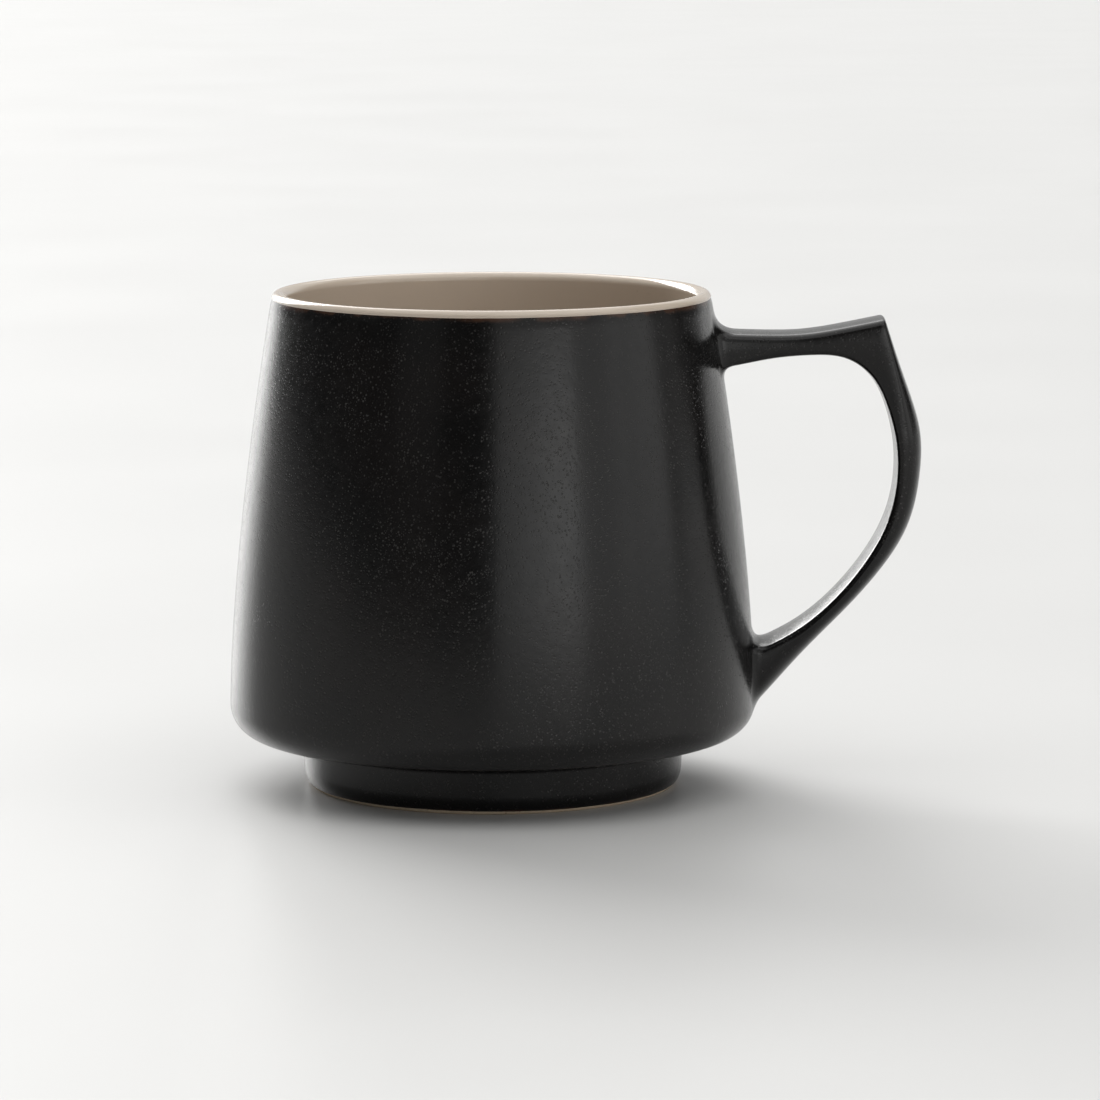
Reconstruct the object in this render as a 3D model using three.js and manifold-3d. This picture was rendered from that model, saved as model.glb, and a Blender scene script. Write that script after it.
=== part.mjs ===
// Stoneware mug: a barrel-bellied cup on a turned foot ring, with a slim strap handle that
// ends in a raised thorn at its top corner. Black glaze outside, pale liner glaze inside.
// Millimetres, +Z up. The handle points along +X, and the mug stands on the plane Z = 0.
// The origin is under the middle of the whole object's box.

import * as THREE from 'three';
import { LoftGeometry } from 'three/addons/geometries/LoftGeometry.js';
import { mergeVertices } from 'three/addons/utils/BufferGeometryUtils.js';
import Module from 'manifold-3d';

const wasm = await Module();
wasm.setup();

// ---------------------------------------------------------------- driving dimensions

const HEIGHT = 85.7;
const BELLY_RADIUS = 45.5;
const BELLY_HEIGHT = 14.3;
const RIM_RADIUS = 37.85;
const TAPER_POWER = 1.55;
const SHOULDER_RADIUS = 5.2;
const UNDERSIDE_SLOPE = THREE.MathUtils.degToRad(10);

const LIP_OUTER_ROUND = 1.1;
const LIP_INNER_ROUND = 1.6;
const LIP_HEIGHT = 1.3;
const WALL_AT_SHOULDER = 4;
const FLOOR_TOP = 11.8;
const FLOOR_CORNER_RADIUS = 7;

const FOOT_TOP_RADIUS = 33;
const FOOT_SIDE_RADIUS = 32.8;
const FOOT_ROUND_WIDTH = 1.9;
const FOOT_ROUND_HEIGHT = 3.4;
const FOOT_INNER_RADIUS = 27.6;
const FOOT_INNER_ROUND = 0.8;
const RECESS_CEILING = 7.2;
const BARE_FOOT_HEIGHT = 0.6;
const FOOT_GLAZE_ANGLE = THREE.MathUtils.degToRad(-55);
const FOOT_CLAY_ANGLE = THREE.MathUtils.degToRad(-63);

const GLAZE = 0.4;
const GAP = 0.3;
const LINER_DROP = 1.6;

const AROUND = 40;
const WALL_STEPS = 6;
const CORNER_STEPS = 4;
const FOOT_STEPS = 3;
const EDGE_STEPS = 2;
const MERGE_TOLERANCE = 1e-3;

// The handle's stations, from inside the wall at the top to inside the wall at the bottom.
// Each holds the outer edge (x, z), the inner edge (x, z) and half the strap's width.
const STATIONS = [
  { outer: [35.5, 83.2], inner: [36.8, 69.8], half: 8.0 },
  { outer: [38.7, 81.6], inner: [40.2, 71.4], half: 7.3 },
  { outer: [41.5, 79.5], inner: [42.4, 73.0], half: 6.4 },
  { outer: [47.5, 78.7], inner: [48.0, 74.1], half: 6.2 },
  { outer: [54.5, 78.95], inner: [54.8, 74.7], half: 6.1 },
  { outer: [61.5, 80.1], inner: [60.8, 74.1], half: 6.1 },
  { outer: [67.5, 81.3], inner: [65.4, 70.7], half: 6.1 },
  { outer: [70.5, 72.3], inner: [67.8, 65.8], half: 6.1 },
  { outer: [73.6, 62.8], inner: [69.2, 60.0], half: 6.2 },
  { outer: [74.1, 55.0], inner: [69.4, 53.8], half: 6.2 },
  { outer: [72.4, 46.6], inner: [67.9, 46.6], half: 6.3 },
  { outer: [67.9, 38.4], inner: [63.7, 38.9], half: 6.4 },
  { outer: [60.8, 30.2], inner: [57.6, 31.9], half: 6.6 },
  { outer: [53.6, 22.9], inner: [51.6, 27.3], half: 7.0 },
  { outer: [48.6, 17.2], inner: [47.8, 25.1], half: 7.5 },
  { outer: [45.6, 14.0], inner: [45.4, 25.6], half: 8.2 },
  { outer: [42.0, 11.6], inner: [42.0, 28.8], half: 8.6 },
];
const THORN_STATION = 6;
const LAST_STATION = STATIONS.length - 1;
const UPPER_JOINT_END = 1.9;
const LOWER_JOINT_START = 14.1;
const JOINT_GAP_STATIONS = 0.1;
const SECTION_POINTS = 16;
const STEPS_PER_STATION = 3;
const OUTER_FACE_SQUARENESS = 6;
const INNER_FACE_SQUARENESS = 5;

const BLACK_GLAZE = { color: 0x1b1a19, roughness: 0.42, metalness: 0 };
const LINER_GLAZE = { color: 0xa89c8c, roughness: 0.16, metalness: 0 };
const BARE_CLAY = { color: 0xcbb9a0, roughness: 0.85, metalness: 0 };

// ---------------------------------------------------------------- solids and materials

function ceramic(finish) {
  return new THREE.MeshStandardMaterial(finish);
}

function named(name, geometry, finish) {
  const mesh = new THREE.Mesh(geometry, ceramic(finish));
  mesh.name = name;
  return mesh;
}

function toSolid(geometry) {
  const bare = new THREE.BufferGeometry();
  bare.setAttribute('position', geometry.getAttribute('position'));
  bare.setIndex(geometry.index);
  const merged = mergeVertices(bare, MERGE_TOLERANCE);
  return new wasm.Manifold(new wasm.Mesh({
    numProp: 3,
    vertProperties: merged.attributes.position.array,
    triVerts: new Uint32Array(merged.index.array),
  }));
}

function toGeometry(solid) {
  const mesh = solid.getMesh();
  const geometry = new THREE.BufferGeometry();
  geometry.setAttribute('position', new THREE.BufferAttribute(mesh.vertProperties, 3));
  geometry.setIndex(new THREE.BufferAttribute(mesh.triVerts, 1));
  geometry.computeVertexNormals();
  return geometry;
}

// Revolves a closed outline of (radius, height) points about the mug's axis.
function turned(outline) {
  const geometry = new THREE.LatheGeometry(outline, AROUND);
  geometry.rotateX(Math.PI / 2);
  return geometry;
}

// ---------------------------------------------------------------- profiles of the cup

function point(radius, height) {
  return new THREE.Vector2(radius, height);
}

// Points on an elliptical arc about a centre, from one angle to another.
function arc(centre, radii, from, to, steps) {
  const points = [];
  for (let i = 0; i <= steps; i += 1) {
    const angle = from + ((to - from) * i) / steps;
    points.push(point(centre.x + radii.x * Math.cos(angle), centre.y + radii.y * Math.sin(angle)));
  }
  return points;
}

const lipBase = HEIGHT - LIP_HEIGHT;
const linerEdge = HEIGHT - LINER_DROP;
const lipTopRadius = RIM_RADIUS - LIP_OUTER_ROUND;
const lipInnerRadius = lipTopRadius - LIP_INNER_ROUND;

// The wall leans in slowly above the belly and faster towards the rim.
function wallRadius(height) {
  const rise = (height - BELLY_HEIGHT) / (lipBase - BELLY_HEIGHT);
  return BELLY_RADIUS - (BELLY_RADIUS - RIM_RADIUS) * rise ** TAPER_POWER;
}

// The wall is thinnest at the lip and thickest at the shoulder.
function innerRadius(height) {
  const rise = (height - BELLY_HEIGHT) / (lipBase - BELLY_HEIGHT);
  const lipWall = RIM_RADIUS - lipInnerRadius;
  return wallRadius(height) - THREE.MathUtils.lerp(WALL_AT_SHOULDER, lipWall, rise);
}

// Glazed outside: up the foot's side, out along the underside, round the shoulder, up the wall.
function outsideProfile() {
  const foot = [...footArc(FOOT_GLAZE_ANGLE, 0, FOOT_STEPS), point(FOOT_TOP_RADIUS, footTop)];
  const shoulderCentre = point(BELLY_RADIUS - SHOULDER_RADIUS, BELLY_HEIGHT);
  const radii = point(SHOULDER_RADIUS, SHOULDER_RADIUS);
  const shoulder = arc(shoulderCentre, radii, UNDERSIDE_SLOPE - Math.PI / 2, 0, CORNER_STEPS);
  const wall = [];
  for (let i = 1; i <= WALL_STEPS; i += 1) {
    const height = THREE.MathUtils.lerp(BELLY_HEIGHT, lipBase, i / WALL_STEPS);
    wall.push(point(wallRadius(height), height));
  }
  return [...foot, ...shoulder, ...wall];
}

// The foot's outer side, which rounds in to the resting face. An angle of 0 is the widest level.
function footArc(from, to, steps) {
  const centre = point(FOOT_SIDE_RADIUS - FOOT_ROUND_WIDTH, FOOT_ROUND_HEIGHT);
  return arc(centre, point(FOOT_ROUND_WIDTH, FOOT_ROUND_HEIGHT), from, to, steps);
}

// Height of the sloping underside at a radius between the foot and the shoulder.
function underside(radius) {
  const tangentRadius = BELLY_RADIUS - SHOULDER_RADIUS * (1 - Math.sin(UNDERSIDE_SLOPE));
  const tangentHeight = BELLY_HEIGHT - SHOULDER_RADIUS * Math.cos(UNDERSIDE_SLOPE);
  return tangentHeight - (tangentRadius - radius) * Math.tan(UNDERSIDE_SLOPE);
}

// The rounded lip, from its outer side over the top to its inner side.
function lipProfile() {
  const top = point(lipTopRadius, lipBase);
  const outerRadii = point(LIP_OUTER_ROUND, LIP_HEIGHT);
  const innerRadii = point(LIP_INNER_ROUND, LIP_HEIGHT);
  return [
    ...arc(top, outerRadii, 0, Math.PI / 2, EDGE_STEPS),
    ...arc(top, innerRadii, Math.PI / 2, Math.PI, EDGE_STEPS).slice(1),
  ];
}

// Down the inner wall, round the floor's corner and in to the axis.
function insideProfile() {
  const cornerHeight = FLOOR_TOP + FLOOR_CORNER_RADIUS;
  const cornerCentre = point(innerRadius(cornerHeight) - FLOOR_CORNER_RADIUS, cornerHeight);
  const radii = point(FLOOR_CORNER_RADIUS, FLOOR_CORNER_RADIUS);
  const wall = [];
  for (let i = 1; i < WALL_STEPS; i += 1) {
    const height = THREE.MathUtils.lerp(lipBase, cornerHeight, i / WALL_STEPS);
    wall.push(point(innerRadius(height), height));
  }
  const corner = arc(cornerCentre, radii, 0, -Math.PI / 2, CORNER_STEPS);
  return [...wall, ...corner, point(0, FLOOR_TOP)];
}

// Moves a profile sideways by a distance, to the left of its direction of travel.
function offset(profile, distance) {
  return profile.map((here, i) => {
    const before = profile[Math.max(i - 1, 0)];
    const after = profile[Math.min(i + 1, profile.length - 1)];
    const into = here.clone().sub(before).normalize();
    const out = after.clone().sub(here).normalize();
    const along = into.clone().add(out).normalize();
    const halfTurn = Math.max(along.dot(into), along.dot(out));
    const left = point(-along.y, along.x).multiplyScalar(distance / halfTurn);
    const moved = here.clone().add(left);
    moved.x = here.x === 0 ? 0 : moved.x;
    return moved;
  });
}

// A closed outline between a profile and the same profile moved into the clay.
function skin(profile, thickness) {
  const back = offset(profile, thickness).reverse();
  return [...profile, ...back, profile[0].clone()];
}

// ---------------------------------------------------------------- the cup and its foot

const footTop = underside(FOOT_TOP_RADIUS);
const outside = outsideProfile();
const lip = lipProfile();
const inside = insideProfile();
const clayDepth = GLAZE + GAP;

// The clay outline of the underside and wall, from the axis to the rim.
function clayOutside(depth) {
  const fromUnderside = outside.filter((place) => place.y > footTop);
  const moved = offset(fromUnderside, depth);
  const ceiling = RECESS_CEILING + depth;
  return [point(0, ceiling), point(FOOT_INNER_RADIUS, ceiling), ...moved];
}

function cupBody() {
  const rimAndInside = offset([...lip.slice(1), ...inside], clayDepth);
  const outline = [...clayOutside(clayDepth), ...rimAndInside];
  return named('cup_body', turned(outline), BARE_CLAY);
}

function footRing() {
  const top = RECESS_CEILING + clayDepth - GAP;
  const outline = [
    point(FOOT_INNER_RADIUS + FOOT_INNER_ROUND, 0),
    ...footArc(-Math.PI / 2, FOOT_CLAY_ANGLE, EDGE_STEPS),
    ...offset(footArc(FOOT_CLAY_ANGLE, 0, FOOT_STEPS), clayDepth),
    point(FOOT_TOP_RADIUS - clayDepth, top),
    point(FOOT_INNER_RADIUS + clayDepth, top),
    point(FOOT_INNER_RADIUS + clayDepth, BARE_FOOT_HEIGHT),
    point(FOOT_INNER_RADIUS, BARE_FOOT_HEIGHT),
    point(FOOT_INNER_RADIUS + FOOT_INNER_ROUND, 0),
  ];
  return named('foot_ring', turned(outline), BARE_CLAY);
}

function linerGlaze() {
  const edge = point(wallRadius(linerEdge), linerEdge);
  return named('liner_glaze', turned(skin([edge, ...lip, ...inside], GLAZE)), LINER_GLAZE);
}

function recessGlaze() {
  const profile = [
    point(0, RECESS_CEILING),
    point(FOOT_INNER_RADIUS, RECESS_CEILING),
    point(FOOT_INNER_RADIUS, BARE_FOOT_HEIGHT + GAP),
  ];
  return named('recess_glaze', turned(skin(profile, GLAZE)), BLACK_GLAZE);
}

// ---------------------------------------------------------------- the handle

const outerUpper = stationCurve('outer', 0, THORN_STATION);
const outerLower = stationCurve('outer', THORN_STATION, LAST_STATION);
const innerWhole = stationCurve('inner', 0, LAST_STATION);

// A smooth curve through the stations' outer or inner edges. Its y is half the width.
function stationCurve(edge, first, last) {
  const places = STATIONS.slice(first, last + 1);
  const points = places.map((s) => new THREE.Vector3(s[edge][0], s.half, s[edge][1]));
  return new THREE.CatmullRomCurve3(points, false, 'centripetal');
}

function outerEdge(station) {
  if (station <= THORN_STATION) {
    return outerUpper.getPoint(station / THORN_STATION);
  }
  return outerLower.getPoint((station - THORN_STATION) / (LAST_STATION - THORN_STATION));
}

// One cross-section of the strap: square-shouldered on its outer face, rounder on its inner one.
function section(station, inset) {
  const outer = outerEdge(station);
  const inner = innerWhole.getPoint(station / LAST_STATION);
  const halfWidth = outer.y - inset;
  outer.y = 0;
  inner.y = 0;
  const centre = outer.clone().add(inner).multiplyScalar(0.5);
  const across = outer.clone().sub(inner);
  const halfThickness = across.length() / 2 - inset;
  across.normalize();
  const points = [];
  for (let i = 0; i < SECTION_POINTS; i += 1) {
    const angle = (2 * Math.PI * (i + 0.5)) / SECTION_POINTS;
    const up = Math.sin(angle);
    const sideways = Math.cos(angle);
    const power = 2 / (up > 0 ? OUTER_FACE_SQUARENESS : INNER_FACE_SQUARENESS);
    const v = Math.sign(up) * Math.abs(up) ** power;
    const u = Math.sign(sideways) * Math.abs(sideways) ** power;
    const spot = centre.clone().addScaledVector(across, halfThickness * v);
    spot.y = halfWidth * u;
    points.push(spot);
  }
  return points;
}

// The strap between two stations, with its surface moved in by an inset.
function strap(from, to, inset) {
  const stations = [from];
  const first = Math.floor(from * STEPS_PER_STATION) + 1;
  for (let i = first; i / STEPS_PER_STATION < to; i += 1) {
    stations.push(i / STEPS_PER_STATION);
  }
  stations.push(to);
  const sections = stations.map((s) => section(s, inset));
  return new LoftGeometry(sections, { capStart: true, capEnd: true });
}

const handleStart = UPPER_JOINT_END + JOINT_GAP_STATIONS;
const handleEnd = LOWER_JOINT_START - JOINT_GAP_STATIONS;

function handle() {
  return named('handle', strap(handleStart, handleEnd, clayDepth), BARE_CLAY);
}

function handleGlaze() {
  const full = toSolid(strap(handleStart, handleEnd, 0));
  const core = toSolid(strap(UPPER_JOINT_END, LOWER_JOINT_START, GLAZE));
  return named('handle_glaze', toGeometry(full.subtract(core)), BLACK_GLAZE);
}

// The fillets of slip that lute the handle's two ends to the wall.
function handleJoint(name, from, to) {
  const fillet = toSolid(strap(from, to, 0));
  const cup = toSolid(turned([...clayOutside(GLAZE), point(0, lipBase)]));
  return named(name, toGeometry(fillet.subtract(cup)), BLACK_GLAZE);
}

// The black glaze over the wall, underside and foot, left open where the fillets meet the clay.
function bodyGlaze() {
  const wall = outside.slice(0, -1);
  wall.push(point(wallRadius(linerEdge - GAP), linerEdge - GAP));
  const whole = toSolid(turned(skin(wall, GLAZE)));
  const upper = toSolid(strap(0, handleStart, -GAP));
  const lower = toSolid(strap(handleEnd, LAST_STATION, -GAP));
  const opened = whole.subtract(upper).subtract(lower);
  return named('body_glaze', toGeometry(opened), BLACK_GLAZE);
}

// ---------------------------------------------------------------- assembly

const mug = new THREE.Group();
mug.add(cupBody());
mug.add(footRing());
mug.add(linerGlaze());
mug.add(bodyGlaze());
mug.add(recessGlaze());
mug.add(handle());
mug.add(handleGlaze());
mug.add(handleJoint('handle_joint_upper', 0, UPPER_JOINT_END));
mug.add(handleJoint('handle_joint_lower', LOWER_JOINT_START, LAST_STATION));

const box = new THREE.Box3().setFromObject(mug, true);
mug.position.x = -(box.min.x + box.max.x) / 2;

const part = new THREE.Group();
part.add(mug);

export default part;
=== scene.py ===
import math

import bpy
import numpy as np
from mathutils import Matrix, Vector


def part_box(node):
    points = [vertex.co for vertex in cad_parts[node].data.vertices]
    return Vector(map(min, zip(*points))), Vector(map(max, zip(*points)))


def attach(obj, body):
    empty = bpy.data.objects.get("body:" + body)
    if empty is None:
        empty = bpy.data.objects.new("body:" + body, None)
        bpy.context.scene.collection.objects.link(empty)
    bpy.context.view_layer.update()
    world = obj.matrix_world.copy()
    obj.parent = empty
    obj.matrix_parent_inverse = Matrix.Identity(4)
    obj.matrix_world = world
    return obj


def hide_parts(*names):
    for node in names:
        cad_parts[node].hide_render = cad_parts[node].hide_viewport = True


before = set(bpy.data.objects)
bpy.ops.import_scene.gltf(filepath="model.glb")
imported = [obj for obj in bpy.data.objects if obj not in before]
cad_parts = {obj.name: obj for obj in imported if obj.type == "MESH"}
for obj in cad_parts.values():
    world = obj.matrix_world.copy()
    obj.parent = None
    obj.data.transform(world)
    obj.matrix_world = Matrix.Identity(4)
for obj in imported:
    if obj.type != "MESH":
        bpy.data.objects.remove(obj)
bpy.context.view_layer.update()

# ---------------------------------------------------------------- sizes, in millimetres
# Heights are above the table and radii are from the cup's own axis. The handle points along +X.

MM = 0.001

BELLY_HEIGHT = 14.3
RIM_RADIUS = 37.85
LIP_BASE = 84.4
TAPER_POWER = 1.55
SHOULDER_RADIUS = 5.2
UNDERSIDE_SLOPE = math.radians(10)

LIP_OUTER_ROUND = 1.1
LIP_INNER_ROUND = 1.6
LIP_HEIGHT = 1.3
LIP_START = math.radians(20)
LIP_END = math.radians(187)
WALL_AT_SHOULDER = 4.0
WALL_AT_LIP = 2.7
FLOOR_TOP = 11.8
FLOOR_CORNER_RADIUS = 7.0

FOOT_TOP_RADIUS = 33.0
FOOT_SIDE_RADIUS = 32.8
FOOT_ROUND_WIDTH = 1.9
FOOT_ROUND_HEIGHT = 3.4
FOOT_INNER_RADIUS = 27.6
FOOT_INNER_ROUND = 0.8
FOOT_FILLET = 0.7
RECESS_CEILING = 7.2
RECESS_FILLET = 1.5

GLAZE = 0.4
EDGE_BEAD = 0.25
EDGE_STEP = 0.12
HIDDEN_GAP = 0.02
RIM_GLAZE_LINE = 84.6
RIM_LINE_WAVE = 0.1
RIM_THIN_REACH = 0.9
FOOT_GLAZE_LINE = 0.62
FOOT_LINE_WAVE = 0.09
FOOT_THIN_REACH = 0.45
RECESS_LINE_RISE = 0.5
LINER_BELOW_LINE = 0.3
LINER_ABOVE_LINE = 0.15
BARE_ABOVE_LINE = 0.3
CLAY_UNDER_GLAZE = 0.5
CREASE = math.radians(50)

# The parts of the wave that each glaze edge wanders by, and a seed for each edge.
WAVE_COUNTS = (2, 3, 5, 8, 13, 21, 34)
RIM_SEED = 3
FOOT_SEED = 5
RECESS_SEED = 9

AROUND = 288
WALL_STEPS = 64
ARC_STEPS = 16
SHOULDER_STEPS = 24
INNER_CORNER_STEPS = 20
FLOOR_STEPS = 9
CEILING_STEPS = 13
SMALL_ARC_STEPS = 8
FILLET_ARC_STEPS = 10

# The handle's stations, from inside the wall at the top to inside the wall at the bottom.
# Each holds the outer edge (x, z), the inner edge (x, z) and half the strap's width.
STATIONS = [
    ((34.0, 79.4), (34.0, 71.6), 6.9),
    ((38.0, 79.1), (38.0, 72.3), 6.7),
    ((42.0, 78.85), (42.4, 73.05), 6.4),
    ((47.5, 78.7), (48.0, 74.1), 6.2),
    ((54.5, 78.95), (54.8, 74.7), 6.1),
    ((61.5, 80.1), (60.8, 74.1), 6.1),
    ((67.5, 81.3), (65.4, 70.7), 6.1),
    ((70.5, 72.3), (67.8, 65.8), 6.1),
    ((73.6, 62.8), (69.2, 60.0), 6.2),
    ((73.98, 55.0), (69.4, 53.8), 6.2),
    ((72.4, 46.6), (67.9, 46.6), 6.3),
    ((67.9, 38.4), (63.7, 38.9), 6.4),
    ((60.8, 30.2), (57.6, 31.9), 6.6),
    ((53.6, 22.9), (51.6, 27.3), 7.0),
    ((48.6, 17.4), (47.3, 25.0), 7.3),
    ((43.6, 12.0), (43.0, 22.9), 7.6),
    ((38.6, 6.8), (38.6, 20.9), 7.8),
]
THORN_STATION = 6
THORN_ROUND_BEFORE = 0.55
THORN_ROUND_AFTER = 0.4
FIRST_FREE_STATION = 3
LAST_FREE_STATION = 13
ARM_ROUND = {"across": 1.7, "through": 1.4}
GRIP_ROUND = {"across": 5.6, "through": 4.0}
ROUND_CHANGE = (-1.0, 15.0)
ROUND_SHARE = {"across": 0.92, "through": 0.66}
INNER_ROUND = {"across": 1.0, "through": 0.9, "share": 0.2}
FACE_CROWN = 0.3
SIDE_CROWN = 0.2
CORNER_STEPS = 7
FACE_STEPS = 8
SIDE_STEPS = 3
ROW_LENGTH = 0.7
THORN_ROW_LENGTH = 0.12
ROOT_ROWS = 14
FILLET_ROWS = 14
ROOT_DEPTH = 0.6
BISECTIONS = 40
SLOPE_STEP = 0.05

# Where the handle's glaze runs thin: about this (x, z), over this reach, at most this much.
THIN_PLACE = (71.0, 71.0)
THIN_REACH = 13.0
THIN_MOST = 0.35

# How far each root's fillet reaches, along the strap and along the wall, on the strap's outer
# face, its two sides and its inner face.
UPPER_REACH = {"outer": 3.6, "side": 1.9, "inner": 2.4}
LOWER_REACH = {"outer": 1.7, "side": 2.2, "inner": 4.2}

# ---------------------------------------------------------------- places taken from the frame


def cup_axis():
    low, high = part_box("cup_body")
    return (low.x + high.x) / 2 / MM


def belly_radius():
    low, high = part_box("body_glaze")
    return (high.y - low.y) / 2 / MM


AXIS_X = cup_axis()
BELLY_RADIUS = belly_radius()
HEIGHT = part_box("liner_glaze")[1].z / MM

# ---------------------------------------------------------------- profiles of the cup


def wall_radius(height):
    """The wall leans in slowly above the belly and faster towards the rim."""
    rise = np.clip((np.asarray(height) - BELLY_HEIGHT) / (LIP_BASE - BELLY_HEIGHT), 0, None)
    return BELLY_RADIUS - (BELLY_RADIUS - RIM_RADIUS) * rise**TAPER_POWER


def inner_radius(height):
    """The wall is thinnest at the lip and thickest at the shoulder."""
    rise = (np.asarray(height) - BELLY_HEIGHT) / (LIP_BASE - BELLY_HEIGHT)
    return wall_radius(height) - WALL_AT_SHOULDER - (WALL_AT_LIP - WALL_AT_SHOULDER) * rise


def arc(centre, radii, start, end, steps=ARC_STEPS):
    """Points on an elliptical arc about a centre, from one angle to another."""
    angles = np.linspace(start, end, steps + 1)
    return np.column_stack([
        centre[0] + radii[0] * np.cos(angles),
        centre[1] + radii[1] * np.sin(angles),
    ])


def foot_angle(height):
    """Where the foot's rounded side passes a height. An angle of 0 is its widest level."""
    return math.asin(height / FOOT_ROUND_HEIGHT - 1)


def foot_arc(start, end, steps=ARC_STEPS):
    centre = (FOOT_SIDE_RADIUS - FOOT_ROUND_WIDTH, FOOT_ROUND_HEIGHT)
    return arc(centre, (FOOT_ROUND_WIDTH, FOOT_ROUND_HEIGHT), start, end, steps)


def underside(radius):
    """Height of the sloping underside at a radius between the foot and the shoulder."""
    tangent_radius = BELLY_RADIUS - SHOULDER_RADIUS * (1 - math.sin(UNDERSIDE_SLOPE))
    tangent_height = BELLY_HEIGHT - SHOULDER_RADIUS * math.cos(UNDERSIDE_SLOPE)
    return tangent_height - (tangent_radius - radius) * math.tan(UNDERSIDE_SLOPE)


def foot_fillet():
    """The small hollow curve where the foot meets the underside."""
    centre_x = FOOT_TOP_RADIUS + FOOT_FILLET
    centre_z = underside(centre_x) - FOOT_FILLET / math.cos(UNDERSIDE_SLOPE)
    radii = (FOOT_FILLET, FOOT_FILLET)
    end = math.pi / 2 + UNDERSIDE_SLOPE
    return arc((centre_x, centre_z), radii, math.pi, end, SMALL_ARC_STEPS)


def outside(bottom, top):
    """The glazed outside from a height on the foot, by the underside and wall, to a height."""
    foot = foot_arc(foot_angle(bottom), 0)
    shoulder_centre = (BELLY_RADIUS - SHOULDER_RADIUS, BELLY_HEIGHT)
    radii = (SHOULDER_RADIUS, SHOULDER_RADIUS)
    shoulder = arc(shoulder_centre, radii, UNDERSIDE_SLOPE - math.pi / 2, 0, SHOULDER_STEPS)
    heights = np.linspace(BELLY_HEIGHT, top, WALL_STEPS + 1)[1:]
    wall = np.column_stack([wall_radius(heights), heights])
    return np.vstack([foot, foot_fillet(), shoulder, wall])


def lip():
    """The rounded lip, from its outer side over the top to its inner side."""
    top = (RIM_RADIUS - LIP_OUTER_ROUND, HEIGHT - LIP_HEIGHT)
    outer = arc(top, (LIP_OUTER_ROUND, LIP_HEIGHT), LIP_START, math.pi / 2)
    inner = arc(top, (LIP_INNER_ROUND, LIP_HEIGHT), math.pi / 2, LIP_END)
    return np.vstack([outer, inner[1:]])


def inside():
    """Down the inner wall, round the floor's corner and in towards the axis."""
    corner_height = FLOOR_TOP + FLOOR_CORNER_RADIUS
    corner_x = float(inner_radius(corner_height)) - FLOOR_CORNER_RADIUS
    radii = (FLOOR_CORNER_RADIUS, FLOOR_CORNER_RADIUS)
    corner = arc((corner_x, corner_height), radii, 0, -math.pi / 2, INNER_CORNER_STEPS)
    heights = np.linspace(HEIGHT - LIP_HEIGHT - 1, corner_height, WALL_STEPS // 2)[:-1]
    wall = np.column_stack([inner_radius(heights), heights])
    across = np.linspace(corner_x, 0, FLOOR_STEPS + 1)[1:]
    floor = np.column_stack([across, np.full(FLOOR_STEPS, FLOOR_TOP)])
    return np.vstack([wall, corner, floor])


def offset(profile, distance):
    """Moves a profile sideways, to the left of its direction of travel."""
    along = np.gradient(profile, axis=0)
    along /= np.linalg.norm(along, axis=1)[:, None]
    moved = profile + distance * np.column_stack([-along[:, 1], along[:, 0]])
    moved[:, 0] = np.where(profile[:, 0] <= 0, 0, np.maximum(moved[:, 0], 0))
    return moved


def wave(angle, seed, size):
    """A slow, uneven wave round the cup, as the edge of a dipped glaze has."""
    rng = np.random.default_rng(seed)
    total = 0.0
    for count in WAVE_COUNTS:
        phase = rng.uniform(0, 2 * math.pi)
        total += math.cos(count * angle + phase) / math.sqrt(count)
    return size * total / 2


# ---------------------------------------------------------------- meshes


def new_piece(name, vertices, faces, finish, nodes):
    """Makes a smooth mesh object from points in millimetres about the cup's axis."""
    places = (np.asarray(vertices, float) + [AXIS_X, 0, 0]) * MM
    mesh = bpy.data.meshes.new(name)
    mesh.from_pydata(places.tolist(), [], faces)
    mesh.materials.append(finish)
    mesh.shade_smooth()
    piece = bpy.data.objects.new(name, mesh)
    bpy.context.scene.collection.objects.link(piece)
    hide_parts(*nodes)
    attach(piece, "root")
    return piece


def mark_edges(piece, shares):
    """Says how thin the glaze runs at each vertex, from 0 to 1, for the material to read."""
    thin = piece.data.attributes.new("thin", "FLOAT", "POINT")
    thin.data.foreach_set("value", np.asarray(shares, np.float32))


def keep_creases(piece):
    """Keeps the sharper edges crisp, so that flat faces stay flat."""
    piece.data.set_sharp_from_angle(angle=CREASE)


def lathe(profile_at, closed):
    """Revolves a profile, which may change with the angle, into vertices and faces.

    profile_at gives (radius, height) points for an angle. A closed profile is a loop, and an
    open one starts and ends on the axis.
    """
    angles = 2 * math.pi * np.arange(AROUND) / AROUND
    columns = [np.asarray(profile_at(angle)) for angle in angles]
    inner = columns if closed else [column[1:-1] for column in columns]
    rows = len(inner[0])
    vertices = []
    for angle, column in zip(angles, inner):
        turn = np.column_stack([
            column[:, 0] * math.cos(angle),
            column[:, 0] * math.sin(angle),
            column[:, 1],
        ])
        vertices.extend(turn.tolist())
    faces = []
    for i in range(AROUND):
        here = i * rows
        there = ((i + 1) % AROUND) * rows
        for j in range(rows if closed else rows - 1):
            k = (j + 1) % rows
            faces.append((here + j, there + j, there + k, here + k))
    if not closed:
        pole = len(vertices)
        vertices.append((0, 0, columns[0][0][1]))
        vertices.append((0, 0, columns[0][-1][1]))
        for i in range(AROUND):
            here = i * rows
            there = ((i + 1) % AROUND) * rows
            faces.append((pole, there, here))
            faces.append((pole + 1, here + rows - 1, there + rows - 1))
    return vertices, faces


# ---------------------------------------------------------------- the cup's pieces


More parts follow.
